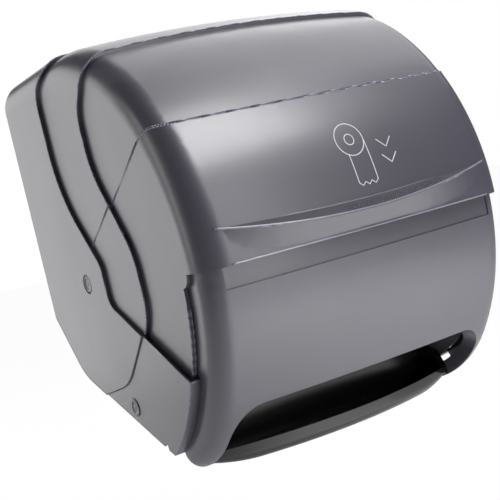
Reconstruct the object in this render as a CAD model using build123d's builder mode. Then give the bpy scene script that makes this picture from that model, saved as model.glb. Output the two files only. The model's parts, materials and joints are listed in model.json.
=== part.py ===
"""Roll towel dispenser with a press lever, in millimetres.

The origin is the centre of the four wall holes, on the wall. X runs to the right as seen
from the front, -Y points out of the wall towards the user, and +Z is up. Side views are
drawn as (y, z), and an angle in them is turned from straight up towards the front.
"""
from math import asin, cos, degrees, pi, radians, sin, sqrt, tan
import os

from build123d import *

os.makedirs("parts", exist_ok=True)

# Driving dimensions of the mouldings
REAR_HALF = 146.0
STEP = 3.0
MID_HALF = REAR_HALF - STEP
FRONT_HALF = MID_HALF - STEP
PANEL_HALF = 136.5
WALL = 2.5
LEVER_WALL = 3.0
SLIP = 0.5
CORNER = 20.0
BOW = 5.0
BOW_AT = 120.0

# Axes in the side view
PIVOT = (-93.0, -70.0)
HINGE = (-129.0, -172.0)

# Side profile of the front moulding: three arcs and a nearly level top
DRUM_R = 189.3
SHOULDER_ANGLE = 40.0
SHOULDER_R = 150.0
TOP_FALL = 2.0
UNDER_ANGLE = 128.0
UNDER_R = 110.0
UNDER_END = 168.0
FORM_DEPTH = 48.0
CORE_R = 150.0
TOP_ABOVE_WALL_HOLES = 80.0
FAR = 300.0

# Lines that part the mouldings, in the side view
SEAM_Z = 34.0
SEAM_GAP = 0.6
SEAM_FRONT_Y = -243.0
SEAM_REAR = (-103.0, -47.0)
LIP_Z = -70.0
BAND_Z = -86.0
BODY_FRONT_R = 162.5
WING_R = 157.5
LEG_END_Z = -224.0
WALL_REACH = 20.0

# Mouth of the lower panel
MOUTH_HALF = 121.0
MOUTH_TOP = -174.5
MOUTH_CORNER = 24.0
MOUTH_RIM = 12.0

# Frame of the mechanism, all inside the cover
FRAME_INNER = 121.0
FRAME_T = 3.0
FRAME_OUTER = FRAME_INNER + FRAME_T
PLATE_TOP = 96.0
PLATE_BOTTOM = -92.0
PLATE_T = 3.0
PLATE_RIM = 14.0
HOLE_SPACING_X = 203.2
HOLE_SPACING_Z = 152.4
HOLE_R = 2.8

# Gear train on the right side
MODULE = 1.5
SECTOR_TEETH = 114
SMALL_TEETH = 12
LARGE_TEETH = 28
GEAR_W = 4.5
OUTER_GEARS_X = 130.6
INNER_GEARS_X = 125.6
MESH_ANGLE = 143.0
ROLLER_ANGLE = 111.0

# Rollers
SHAFT_R = 4.0
ROLLER_R = 17.0
PINCH_R = 8.0
PINCH_SHAFT_R = 2.5
PINCH_ANGLE = 210.0
NIP = 0.4
RUNNING = 0.05

# Roll arms and core plugs
ROLL_CENTRE = (-105.0, -2.0)
ARM_INNER = 104.0
ARM_T = 3.5
ARM_PIN_Y = -16.0
ARM_PIN_R = 2.0


def around(radius, angle, centre=PIVOT):
    """Point of the side view at an angle from straight up towards the front."""
    return (centre[0] - radius * sin(radians(angle)), centre[1] + radius * cos(radians(angle)))


def closed(points, radii):
    """Closed outline of straight runs with the given corner radii at the inner points."""
    with BuildLine() as outline:
        path = FilletPolyline(*points, radius=radii)
        Line(path @ 1, path @ 0)
    return outline.line


def rod(radius, centre, x_from, x_to, mode=Mode.ADD, bore=0.0):
    """Cylinder or sleeve along X in the part that is being built."""
    with BuildSketch(Plane.YZ.offset(x_from)) as end:
        with Locations(centre):
            Circle(radius)
            if bore:
                Circle(bore, mode=Mode.SUBTRACT)
    extrude(end.sketch, amount=x_to - x_from, mode=mode)


def keep(name, piece):
    """Label a finished piece and write its file."""
    piece.label = name
    export_step(piece, f"parts/{name}.step")


# Path of the side profile, from under the mouth over the front and the top to the wall
under_centre = around(DRUM_R - UNDER_R, UNDER_ANGLE)
shoulder_centre = around(DRUM_R - SHOULDER_R, SHOULDER_ANGLE)
with BuildLine(Plane.YZ) as spine:
    CenterArc(under_centre, UNDER_R, 90 + UNDER_END, UNDER_ANGLE - UNDER_END)
    CenterArc(PIVOT, DRUM_R, 90 + UNDER_ANGLE, SHOULDER_ANGLE - UNDER_ANGLE)
    CenterArc(shoulder_centre, SHOULDER_R, 90 + SHOULDER_ANGLE, -SHOULDER_ANGLE - TOP_FALL)
    top_front = around(SHOULDER_R, -TOP_FALL, shoulder_centre)
    Line(top_front, (0, top_front[1] + top_front[0] * tan(radians(TOP_FALL))))
profile = spine.wires()[0]


def form(half, lift):
    """Bowed, round-cornered body of a given half width, lifted off the side profile."""
    edge = lift - BOW * ((half / BOW_AT) ** 2 - 1)
    with BuildPart() as body:
        with BuildSketch(Plane(profile @ 0, x_dir=(-1, 0, 0), z_dir=profile % 0)) as section:
            with BuildLine():
                Polyline((-half, edge), (-half, -FORM_DEPTH), (half, -FORM_DEPTH), (half, edge))
                ThreePointArc((-half, edge), (0, lift + BOW), (half, edge))
            make_face()
            fillet(section.vertices().group_by(Axis.Y)[-1], CORNER + lift)
        sweep(path=profile)
        with BuildSketch(Plane.YZ):
            with Locations(PIVOT):
                Circle(CORE_R)
            with Locations((0, TOP_ABOVE_WALL_HOLES)):
                Rectangle(-PIVOT[0], TOP_ABOVE_WALL_HOLES - LEG_END_Z, align=(Align.MAX, Align.MAX))
            with BuildLine():
                Polyline((1, FAR), (FAR, FAR), (FAR, -FAR), (0, -FAR), (0, FAR), (1, FAR))
            make_face(mode=Mode.SUBTRACT)
        extrude(amount=half, both=True)
    return body.part


# Rear band and lower side body: behind the first step line, above the lower edge
body_corner = around(BODY_FRONT_R, 118)
body_foot = around(BODY_FRONT_R, 147)
with BuildLine() as rear_outline:
    FilletPolyline((-97, FAR), (-97, 112), (-77.5, 86), (-77.5, 8), (-128, -56), (-128, -88), body_corner,
                   radius=(14, 30, 110, 18, 14))
    ThreePointArc(body_corner, around(BODY_FRONT_R, 132), body_foot)
    FilletPolyline(body_foot, (-38, -149), (0, -97), (WALL_REACH, -97), radius=(50, 1))
    Polyline((WALL_REACH, -97), (WALL_REACH, FAR), (-97, FAR))

# All that lies behind the second step line, which turns under on the lower side body
crease_outline = closed(((-176, FAR), (-176, 96), (-146, 62), (-146, 18), (-187.5, -50), (-188, -101),
                         (-128, -154), (-20, -176), (WALL_REACH, -176), (WALL_REACH, FAR)),
                        (12, 30, 70, 60, 40, 60, 5, 1))

# All that lies above the top edge of the lever
seam_outline = closed(((-FAR, FAR), (-FAR, SEAM_Z), (SEAM_FRONT_Y, SEAM_Z), SEAM_REAR,
                       (WALL_REACH, SEAM_REAR[1]), (WALL_REACH, FAR)), (1, 12, 5, 1))

# Side view of the whole cover: open towards the wall, cut level at the legs of the mouth
cover_outline = closed(((WALL_REACH, FAR), (WALL_REACH, -97), (0, -97), (-38, -149), body_foot,
                        (body_foot[0], LEG_END_Z), (-FAR, LEG_END_Z), (-FAR, FAR)), (1, 1, 50, 1, 1, 1))


def mouth_cut(grow, mode):
    """Keep or remove the mouth's prism: round upper corners, open at the bottom."""
    with BuildSketch(Plane.XZ.offset(-HINGE[0])) as mouth:
        with Locations((0, MOUTH_TOP + grow)):
            Rectangle(2 * (MOUTH_HALF + grow), -LEG_END_Z, align=(Align.CENTER, Align.MAX))
        fillet(mouth.vertices().group_by(Axis.Y)[-1], MOUTH_CORNER + grow)
    extrude(mouth.sketch, amount=FAR, mode=mode)


def side_cut(outline, mode, inset=0.0, half=FAR):
    """Keep or remove what an outline of the side view covers, over the whole width."""
    with BuildSketch(Plane.YZ) as area:
        make_face(outline.edges())
        if inset:
            offset(amount=-inset)
    extrude(area.sketch, amount=half, both=True, mode=mode)


# Cover: one moulding in three steps, with the lower front panel and the mouth
with BuildPart() as rear_band:
    add(form(REAR_HALF, 2 * STEP))
    side_cut(rear_outline.line, Mode.INTERSECT)
with BuildPart() as rear_room:
    add(form(REAR_HALF - WALL, 2 * STEP - WALL))
    side_cut(rear_outline.line, Mode.INTERSECT, WALL)
with BuildPart() as mid_band:
    add(form(MID_HALF, STEP))
    side_cut(crease_outline, Mode.INTERSECT)
    side_cut(seam_outline, Mode.INTERSECT)
with BuildPart() as mid_room:
    add(form(MID_HALF - WALL, STEP - WALL))
    side_cut(crease_outline, Mode.INTERSECT, WALL)
    side_cut(seam_outline, Mode.INTERSECT, WALL)
with BuildPart() as front_band:
    add(form(FRONT_HALF, 0))
    side_cut(seam_outline, Mode.INTERSECT)
with BuildPart() as front_room:
    add(form(FRONT_HALF - WALL, -WALL))
    side_cut(seam_outline, Mode.INTERSECT, WALL)
panel_face = form(PANEL_HALF, -STEP)
panel_room = form(PANEL_HALF - WALL, -STEP - WALL)

with BuildPart() as mouth_rim:
    add(panel_face)
    mouth_cut(WALL, Mode.INTERSECT)
    mouth_cut(0, Mode.SUBTRACT)
    add(form(PANEL_HALF, -STEP - MOUTH_RIM), mode=Mode.SUBTRACT)
    side_cut(cover_outline, Mode.INTERSECT)

LOCK_Y = -44.0
LOCK_R = 8.0
LOCK_FLANGE_Z = 115.0
PIN_R = 4.0
PIN_HEAD_R = 7.3
PIN_RECESS_R = 7.6
PIN_SEAT = 144.3
BAND_DEPTH = 1.0
BAND_HIGH = 30.0
BAND_HALF = PANEL_HALF + 6
BAND_LIFT = -STEP - BAND_DEPTH
WALL_CLEAR = 0.5
with BuildPart() as band:
    add(form(BAND_HALF, BAND_LIFT + 2 * BAND_DEPTH))
    add(form(BAND_HALF, BAND_LIFT), mode=Mode.SUBTRACT)
    with BuildSketch(Plane.YZ):
        with Locations((-FAR, BAND_Z)):
            Rectangle(FAR + PIVOT[0], BAND_HIGH, align=(Align.MIN, Align.MIN))
    extrude(amount=BAND_HALF - CORNER, both=True, mode=Mode.INTERSECT)
with BuildPart() as cover:
    add(panel_face)
    side_cut(cover_outline, Mode.INTERSECT)
    add(rear_band.part)
    add(mid_band.part)
    add(front_band.part)
    add(rear_room.part, mode=Mode.SUBTRACT)
    add(mid_room.part, mode=Mode.SUBTRACT)
    add(front_room.part, mode=Mode.SUBTRACT)
    add(panel_room, mode=Mode.SUBTRACT)
    # open underside, with a narrow flange left along each side
    with BuildSketch(Plane.YZ):
        with BuildLine():
            Polyline((1, -80), (-30, -125), (-165, -183), (-180, -200), (-180, -226), (1, -226), (1, -80))
        make_face()
    extrude(amount=138, both=True, mode=Mode.SUBTRACT)
    # room for the wings of the lever, under the skin of the lower side body
    for side in (-1, 1):
        with BuildSketch(Plane.YZ.offset(side * PANEL_HALF)):
            with Locations(PIVOT):
                Circle(BODY_FRONT_R - WALL)
            make_face(seam_outline.edges(), mode=Mode.SUBTRACT)
        extrude(amount=side * (REAR_HALF - WALL - PANEL_HALF), mode=Mode.SUBTRACT)
    mouth_cut(0, Mode.SUBTRACT)
    add(mouth_rim.part)
    # holes and recesses for the lever pivots and the hinge pins, and the hole for the lock
    for side in (-1, 1):
        rod(PIN_R, PIVOT, side * (REAR_HALF - 2 * WALL), side * PIN_SEAT, Mode.SUBTRACT)
        rod(PIN_R + RUNNING, HINGE, side * (REAR_HALF - 2 * WALL), side * PIN_SEAT, Mode.SUBTRACT)
        for centre in (PIVOT, HINGE):
            rod(PIN_RECESS_R, centre, side * PIN_SEAT, side * (REAR_HALF + 1), Mode.SUBTRACT)
    with Locations((0, LOCK_Y, TOP_ABOVE_WALL_HOLES)):
        Cylinder(LOCK_R, FAR, align=(Align.CENTER, Align.CENTER, Align.MIN), mode=Mode.SUBTRACT)
    # shallow band under the lip of the lever
    add(band.part, mode=Mode.SUBTRACT)
    # the lower side body steps in below its crease line
    for side in (-1, 1):
        with BuildSketch(Plane.YZ.offset(side * (REAR_HALF - BAND_DEPTH))):
            Rectangle(2 * FAR, 2 * FAR)
            make_face(crease_outline.edges(), mode=Mode.SUBTRACT)
        extrude(amount=side * WALL, mode=Mode.SUBTRACT)
    # free edge, just clear of the wall
    with BuildSketch(Plane.XZ.offset(WALL_CLEAR)):
        Rectangle(2 * FAR, 2 * FAR)
    extrude(amount=-WALL, mode=Mode.SUBTRACT)
keep("cover_shell", cover.part)

# Lever: a visor that turns on the cover, three millimetres proud of it
BOSS_R = 15.0
PEG = around(29, 108)
PEG_R = 3.5
LEDGE_HALF = 126.0
LEDGE_REACH = 8.0
LEDGE_STEPS = 12
LEDGE_SINK = 0.6
wing_foot = around(WING_R, 121)
wing_top = around(WING_R, 93.5)
with BuildLine() as lever_outline:
    upper = FilletPolyline((-FAR, SEAM_Z - SEAM_GAP), (SEAM_FRONT_Y - SEAM_GAP / 3, SEAM_Z - SEAM_GAP),
                           (SEAM_REAR[0] - SEAM_GAP / 2, SEAM_REAR[1] - SEAM_GAP), (-84, -60), (-88, -84),
                           (-126, -98), wing_foot, radius=(12, 6, 1, 1, 6))
    ThreePointArc(wing_foot, around(WING_R, 107), wing_top)
    RadiusArc(wing_top, (wing_top[0] - 8.5, LIP_Z), 9)
    Polyline((wing_top[0] - 8.5, LIP_Z), (-FAR, LIP_Z), upper @ 0)


def drum_y(x, z, lift):
    """Place of the drum's face at a given width and height, its rounded edges counted."""
    rounding = CORNER + lift
    past = max(0, abs(x) - (FRONT_HALF - rounding))
    radius = DRUM_R + lift + BOW * (1 - (x / BOW_AT) ** 2) - rounding + sqrt(rounding ** 2 - past ** 2)
    return PIVOT[0] - sqrt(radius ** 2 - (z - PIVOT[1]) ** 2)


def ledge_section(x):
    """Wedge of the grip ledge at one width: crease above, edge out, and foot at the lip."""
    ease = (x / LEDGE_HALF) ** 2
    crease_z = -47 + 6 * ease
    edge_z = -56 + 13 * ease
    foot_z = LIP_Z + 0.5
    with BuildSketch(Plane.YZ.offset(x)) as wedge:
        with BuildLine():
            Polyline((drum_y(x, crease_z, STEP) + 1.2, crease_z),
                     (drum_y(x, edge_z, STEP) - LEDGE_REACH * (1 - ease) + LEDGE_SINK, edge_z),
                     (drum_y(x, foot_z, STEP) + 0.8, foot_z), close=True)
        make_face()
    return wedge.sketch


with BuildPart() as lever:
    add(form(FRONT_HALF, STEP))
    with BuildSketch(Plane.YZ):
        make_face(crease_outline.edges())
    extrude(amount=MID_HALF, both=True)
    side_cut(lever_outline.line, Mode.INTERSECT)
    rod(BOSS_R, PIVOT, -MID_HALF, MID_HALF)
    add(form(FRONT_HALF - LEVER_WALL, 0), mode=Mode.SUBTRACT)
    side_cut(crease_outline, Mode.SUBTRACT, WALL, MID_HALF - WALL)
    rod(PIN_R + RUNNING, PIVOT, -MID_HALF - 1, MID_HALF + 1, Mode.SUBTRACT)
    rod(PEG_R, PEG, OUTER_GEARS_X + 0.5, MID_HALF - WALL + 1)
    stations = [LEDGE_HALF * step / LEDGE_STEPS for step in range(-LEDGE_STEPS, LEDGE_STEPS + 1)]
    loft([ledge_section(x) for x in stations], ruled=True)
keep("lever_shell", lever.part)

# Pins of the lever and of the cover, seated in round recesses in the side walls
with BuildPart() as lever_pins:
    for side in (-1, 1):
        rod(PIN_R, PIVOT, side * 138.4, side * PIN_SEAT)
        rod(PIN_HEAD_R, PIVOT, side * PIN_SEAT, side * (PIN_SEAT + 1))
keep("lever_pivot_pins", lever_pins.part)

with BuildPart() as pin_clips:
    for side in (-1, 1):
        rod(7, PIVOT, side * 139, side * 140.2, bore=PIN_R)
keep("pivot_pin_clips", pin_clips.part)

with BuildPart() as hinge_pins:
    for side in (-1, 1):
        rod(PIN_R, HINGE, side * FRAME_INNER, side * PIN_SEAT)
        rod(PIN_HEAD_R, HINGE, side * (PIN_SEAT + 0.1), side * (PIN_SEAT + 1))
        rod(PIN_R, HINGE, side * PIN_SEAT, side * (PIN_SEAT + 0.1))
keep("cover_hinge_pins", hinge_pins.part)

# Places of the transfer bar, the stub cradle and the screws in the side frames
TRANSFER = (-127.0, -151.0)
TRANSFER_R = 3.0
CRADLE = (-78.0, -92.0)
CRADLE_R = 36.0
SCREW_R = 1.6
SCREW_HEAD_R = 3.2
SCREW_LONG = 7.0
cradle_boss = around(CRADLE_R - 5, 175, CRADLE)
screw_places = [(-7, -54), (-7, -80), (-170, -204), (-210, -156), (-210, -167), cradle_boss]

# Wall plate with a stiffening rim, ribs and the lugs of the roll arms
BOSS_OUT = 5.0
RIB_T = 2.0
ARM_X = 108.0
LUG_GAP = 0.3
KNUCKLE_R = 5.0
KNUCKLE_HALF = 14.0
LUG_T = 4.0
plate_mid = (PLATE_TOP + PLATE_BOTTOM) / 2
plate_high = PLATE_TOP - PLATE_BOTTOM
with BuildPart() as back_plate:
    with BuildSketch(Plane.XZ):
        with Locations((0, plate_mid)):
            RectangleRounded(2 * FRAME_INNER, plate_high, 8)
    extrude(amount=PLATE_RIM)
    with BuildSketch(Plane.XZ.offset(PLATE_T)):
        with Locations((0, plate_mid)):
            RectangleRounded(2 * (FRAME_INNER - WALL), plate_high - 2 * WALL, 6)
    extrude(amount=PLATE_RIM, mode=Mode.SUBTRACT)
    with BuildSketch(Plane.XZ.offset(PLATE_T)):
        with Locations((0, plate_mid)):
            with GridLocations(60, 1, 3, 1):
                Rectangle(RIB_T, plate_high - 2 * WALL)
            with GridLocations(1, 76, 1, 2):
                Rectangle(2 * (FRAME_INNER - WALL), RIB_T)
        with GridLocations(HOLE_SPACING_X, HOLE_SPACING_Z, 2, 2):
            Circle(9)
    extrude(amount=BOSS_OUT)
    with BuildSketch(Plane.XY.offset(ROLL_CENTRE[1] - KNUCKLE_HALF - LUG_GAP - LUG_T)) as lugs:
        with Locations((-ARM_X, 0), (ARM_X, 0)):
            Rectangle(2 * KNUCKLE_R, -ARM_PIN_Y, align=(Align.CENTER, Align.MAX))
        with Locations((-ARM_X, ARM_PIN_Y), (ARM_X, ARM_PIN_Y)):
            Circle(KNUCKLE_R)
            Circle(ARM_PIN_R, mode=Mode.SUBTRACT)
    extrude(amount=LUG_T)
    extrude(lugs.sketch.moved(Location((0, 0, 2 * (KNUCKLE_HALF + LUG_GAP) + LUG_T))), amount=LUG_T)
    with BuildSketch(Plane.XZ):
        with GridLocations(HOLE_SPACING_X, HOLE_SPACING_Z, 2, 2):
            Circle(HOLE_R)
    extrude(amount=PLATE_RIM, mode=Mode.SUBTRACT)
    for place in screw_places[:2]:
        rod(SCREW_R, place, -FRAME_OUTER, FRAME_OUTER, Mode.SUBTRACT)
keep("back_plate", back_plate.part)

# Gear train geometry
sector_r = MODULE * SECTOR_TEETH / 2
small_r = MODULE * SMALL_TEETH / 2
large_r = MODULE * LARGE_TEETH / 2
mesh_heading = 90 + MESH_ANGLE
idler = around(sector_r + small_r, MESH_ANGLE)
roller_heading = 90 + ROLLER_ANGLE
roller = (idler[0] + (large_r + small_r) * cos(radians(roller_heading)),
          idler[1] + (large_r + small_r) * sin(radians(roller_heading)))
pinch = around(ROLLER_R + PINCH_R + NIP, PINCH_ANGLE, roller)


def tooth_points(teeth, centre, heading, first, last):
    """Points of straight-flanked teeth, counted from the one that points along the heading."""
    radius = MODULE * teeth / 2
    pitch = 2 * pi / teeth
    points = []
    for count in range(first, last + 1):
        middle = radians(heading) + count * pitch
        for turn, reach in ((-0.30, -1.15), (-0.13, 0.9), (0.13, 0.9), (0.30, -1.15)):
            angle = middle + turn * pitch
            out = radius + reach * MODULE
            points.append((centre[0] + out * cos(angle), centre[1] + out * sin(angle)))
    return points


def gear(teeth, centre, heading, x_from, width):
    """Full gear of straight-flanked teeth in the part that is being built."""
    with BuildSketch(Plane.YZ.offset(x_from)) as blank:
        with BuildLine():
            Polyline(*tooth_points(teeth, centre, heading, 0, teeth - 1), close=True)
        make_face()
    extrude(blank.sketch, amount=width)


# Side frames: plates that carry the rollers, the gear train and the hinge pins
BUSH_R = 6.0
POST_R = 5.0
IDLER_POST_R = 3.0
FRONT_R = 170.0
FLANGE_INNER = 108.0
HINGE_BOSS_R = 8.0
frame_nose = around(FRONT_R, 93)
frame_foot = around(FRONT_R - 8, 146)
with BuildLine() as frame_outline:
    top_run = FilletPolyline((-1, -88), (-1, -46), (-98, -54), (-206, -44), (-226, -46), (-223, -79),
                             frame_nose, radius=(3, 30, 30, 7, 8))
    ThreePointArc(frame_nose, around(FRONT_R, 112), around(FRONT_R, 130))
    Polyline(around(FRONT_R, 130), frame_foot)
    FilletPolyline(frame_foot, (-166, -210), (-158, -198), (-40, -146), top_run @ 0, radius=(5, 5, 40))
for side, label in ((-1, "left"), (1, "right")):
    with BuildPart() as frame:
        with BuildSketch(Plane.YZ.offset(side * FRAME_INNER)):
            make_face(frame_outline.edges())
            with Locations(HINGE):
                Circle(PIN_R, mode=Mode.SUBTRACT)
            with Locations(roller):
                Circle(BUSH_R, mode=Mode.SUBTRACT)
            with Locations(pinch):
                Circle(PINCH_SHAFT_R + RUNNING, mode=Mode.SUBTRACT)
            with Locations(TRANSFER):
                Circle(TRANSFER_R + RUNNING, mode=Mode.SUBTRACT)
            with Locations(*screw_places):
                Circle(SCREW_R, mode=Mode.SUBTRACT)
            if side > 0:
                with Locations(PIVOT):
                    Circle(POST_R, mode=Mode.SUBTRACT)
                with Locations(idler):
                    Circle(IDLER_POST_R, mode=Mode.SUBTRACT)
        extrude(amount=side * FRAME_T)
        with BuildSketch(Plane.YZ.offset(side * FLANGE_INNER)):
            with BuildLine():
                Line(around(FRONT_R, 94), around(FRONT_R - WALL, 94))
                RadiusArc(around(FRONT_R - WALL, 94), around(FRONT_R - WALL, 129), -(FRONT_R - WALL))
                Line(around(FRONT_R - WALL, 129), around(FRONT_R, 129))
                RadiusArc(around(FRONT_R, 129), around(FRONT_R, 94), FRONT_R)
            make_face()
        extrude(amount=side * (FRAME_INNER + 1 - FLANGE_INNER))
        rod(HINGE_BOSS_R, HINGE, side * FRAME_OUTER, side * (REAR_HALF - WALL - SLIP), bore=PIN_R)
    keep(f"side_frame_{label}", frame.part)

# Drive sector, pushed by the lever's peg, and its gear train
HUB_R = 11.0
with BuildPart() as sector:
    with BuildSketch(Plane.YZ.offset(OUTER_GEARS_X)):
        with Locations(PIVOT):
            Circle(HUB_R)
        with BuildLine():
            teeth = tooth_points(SECTOR_TEETH, PIVOT, mesh_heading, -6, 1)
            Polyline(around(6, 200), around(6, 90), around(sector_r - 4, 122.6), *teeth,
                     around(sector_r - 4, 147.4), close=True)
        make_face()
        with BuildLine():
            horn = 108 + degrees(asin((PEG_R + 0.4) / 29))
            Polyline(PIVOT, around(34, horn), around(34, 126), close=True)
        make_face()
        with Locations(PIVOT):
            Circle(POST_R + RUNNING, mode=Mode.SUBTRACT)
    extrude(amount=GEAR_W)
keep("drive_sector", sector.part)

with BuildPart() as compound:
    gear(LARGE_TEETH, idler, roller_heading, INNER_GEARS_X, GEAR_W)
    gear(SMALL_TEETH, idler, mesh_heading - 180 + 180 / SMALL_TEETH, OUTER_GEARS_X - 0.6, GEAR_W + 0.6)
    rod(IDLER_POST_R + RUNNING, idler, FRAME_OUTER, FAR, Mode.SUBTRACT)
keep("compound_gear", compound.part)

with BuildPart() as pinion:
    gear(SMALL_TEETH, roller, roller_heading - 180 + 180 / SMALL_TEETH, INNER_GEARS_X, GEAR_W)
    rod(SHAFT_R + RUNNING, roller, FRAME_OUTER, FAR, Mode.SUBTRACT)
keep("roller_pinion", pinion.part)

with BuildPart() as posts:
    for centre, radius in ((PIVOT, POST_R), (idler, IDLER_POST_R)):
        rod(radius, centre, FRAME_INNER, 136.6)
        rod(radius + 3, centre, FRAME_INNER - 1.5, FRAME_INNER)
keep("gear_posts", posts.part)

with BuildPart() as clips:
    rod(POST_R + 3, PIVOT, 135.5, 136.4, bore=POST_R)
    rod(IDLER_POST_R + 3, idler, 135.5, 136.4, bore=IDLER_POST_R)
keep("post_clips", clips.part)

# Drive roller: steel shaft, plastic core and three rubber sleeves
SLEEVE_X = (-72.0, 0.0, 72.0)
SLEEVE_W = 52.0
CORE_OUT = 13.0
CORE_HALF = 112.0
with BuildPart() as shaft:
    rod(SHAFT_R, roller, -126.4, 131.8)
keep("drive_shaft", shaft.part)
with BuildPart() as roller_core:
    rod(CORE_OUT, roller, -CORE_HALF, CORE_HALF, bore=SHAFT_R)
keep("roller_core", roller_core.part)
with BuildPart() as sleeves:
    for x in SLEEVE_X:
        rod(ROLLER_R, roller, x - SLEEVE_W / 2, x + SLEEVE_W / 2, bore=CORE_OUT)
keep("roller_sleeves", sleeves.part)
with BuildPart() as shaft_clips:
    rod(7, roller, -126, -125, bore=SHAFT_R)
    rod(7, roller, 130.4, 131.4, bore=SHAFT_R)
keep("shaft_clips", shaft_clips.part)
with BuildPart() as bushes:
    for side in (-1, 1):
        rod(BUSH_R, roller, side * FRAME_INNER, side * FRAME_OUTER, bore=SHAFT_R + RUNNING)
        rod(BUSH_R + 3, roller, side * (FRAME_INNER - 1.5), side * FRAME_INNER, bore=SHAFT_R + RUNNING)
keep("roller_bushes", bushes.part)

# Pinch roller, pressed up by two leaf springs
with BuildPart() as pinch_shaft:
    rod(PINCH_SHAFT_R, pinch, -FRAME_OUTER, FRAME_OUTER)
keep("pinch_shaft", pinch_shaft.part)
with BuildPart() as pinch_rollers:
    for x in SLEEVE_X:
        rod(PINCH_R, pinch, x - SLEEVE_W / 2, x + SLEEVE_W / 2, bore=PINCH_SHAFT_R)
keep("pinch_rollers", pinch_rollers.part)

# Front guide above the towel's way out, with the tear bar on its face
GUIDE_FRONT = -214.0
GUIDE_TOP = -150.0
GUIDE_FOOT = -172.0
TEAR_TEETH = 44
TEAR_PITCH = 4.6
TEAR_T = 1.0
GUIDE_DEEP = 8.0
tear_screws = [(x, GUIDE_TOP - 10) for x in (-90, 0, 90)]
with BuildPart() as guide:
    with BuildSketch(Plane.YZ) as guide_section:
        with Locations((GUIDE_FRONT, GUIDE_TOP)):
            Rectangle(GUIDE_DEEP, GUIDE_TOP - GUIDE_FOOT, align=(Align.MIN, Align.MAX))
        fillet(guide_section.vertices().group_by(Axis.X)[-1], 3)
    extrude(amount=FRAME_INNER, both=True)
    for place in screw_places[3:5]:
        for side in (-1, 1):
            rod(SCREW_R, place, side * (FRAME_OUTER - SCREW_LONG), side * FRAME_INNER, Mode.SUBTRACT)
    with BuildSketch(Plane.XZ.offset(-GUIDE_FRONT)):
        with Locations(*tear_screws):
            Circle(SCREW_R)
    extrude(amount=-GUIDE_DEEP + 1, mode=Mode.SUBTRACT)
keep("front_guide", guide.part)

with BuildPart() as tear_bar:
    with BuildSketch(Plane.XZ.offset(-GUIDE_FRONT)):
        with BuildLine():
            half_bar = TEAR_TEETH * TEAR_PITCH / 2
            points = [(-half_bar, GUIDE_FOOT + 16)]
            for tooth in range(TEAR_TEETH):
                points.append((-half_bar + tooth * TEAR_PITCH, GUIDE_FOOT - 3))
                points.append((-half_bar + (tooth + 0.5) * TEAR_PITCH, GUIDE_FOOT - 6))
            points += [(half_bar, GUIDE_FOOT - 3), (half_bar, GUIDE_FOOT + 16)]
            Polyline(*points, close=True)
        make_face()
        with Locations(*tear_screws):
            Circle(SCREW_R, mode=Mode.SUBTRACT)
    extrude(amount=TEAR_T)
keep("tear_bar", tear_bar.part)

with BuildPart() as tear_bar_screws:
    with BuildSketch(Plane.XZ.offset(-GUIDE_FRONT - GUIDE_DEEP + 2)):
        with Locations(*tear_screws):
            Circle(SCREW_R)
    extrude(amount=GUIDE_DEEP - 2 + TEAR_T)
    with BuildSketch(Plane.XZ.offset(-GUIDE_FRONT + TEAR_T)):
        with Locations(*tear_screws):
            Circle(SCREW_HEAD_R)
    extrude(amount=1.6)
keep("tear_bar_screws", tear_bar_screws.part)

# Towel chute: the bulged chin that closes the mouth, and its two cheeks
CHUTE_HALF = 117.5
CHIN_SIDE = -189.0
CHIN_FRONT = -213.0
CHUTE_REAR = -158.0
CHIN_FOOT = -226.5
CHIN_TOP = -213.0
CHUTE_REAR_TOP = -191.0
with BuildPart() as chute:
    with BuildSketch(Plane.XY.offset(CHIN_FOOT)) as chin:
        with BuildLine():
            ThreePointArc((-CHUTE_HALF, CHIN_SIDE), (0, CHIN_FRONT), (CHUTE_HALF, CHIN_SIDE))
            Polyline((-CHUTE_HALF, CHIN_SIDE), (-CHUTE_HALF, CHUTE_REAR), (CHUTE_HALF, CHUTE_REAR),
                     (CHUTE_HALF, CHIN_SIDE))
        make_face()
    extrude(amount=CHIN_TOP - CHIN_FOOT)
    front = chute.faces().sort_by(Axis.Y)[0]
    fillet(front.edges().sort_by(Axis.Z)[0], 7)
    with BuildSketch(Plane.XY.offset(CHIN_FOOT + WALL)):
        add(chin.sketch)
        offset(amount=-WALL)
    extrude(amount=FAR, mode=Mode.SUBTRACT)
    # back wall behind the towel's way, and the two cheeks that are screwed to the side frames
    with BuildSketch(Plane.XZ.offset(-CHUTE_REAR)):
        with Locations((0, CHIN_FOOT)):
            Rectangle(2 * FRAME_INNER, CHUTE_REAR_TOP - CHIN_FOOT, align=(Align.CENTER, Align.MIN))
    extrude(amount=WALL)
    for side in (-1, 1):
        with BuildSketch(Plane.YZ.offset(side * (CHUTE_HALF - WALL))):
            with BuildLine():
                Polyline((CHUTE_REAR, CHIN_FOOT + WALL), (CHUTE_REAR, CHUTE_REAR_TOP), (-182, -199),
                         (CHIN_SIDE, CHIN_TOP), (CHIN_SIDE, CHIN_FOOT + WALL), close=True)
            make_face()
        extrude(amount=side * (FRAME_INNER - CHUTE_HALF + WALL))
    rod(SCREW_R, screw_places[2], -FRAME_INNER, FRAME_INNER, Mode.SUBTRACT)
keep("towel_chute", chute.part)

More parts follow.
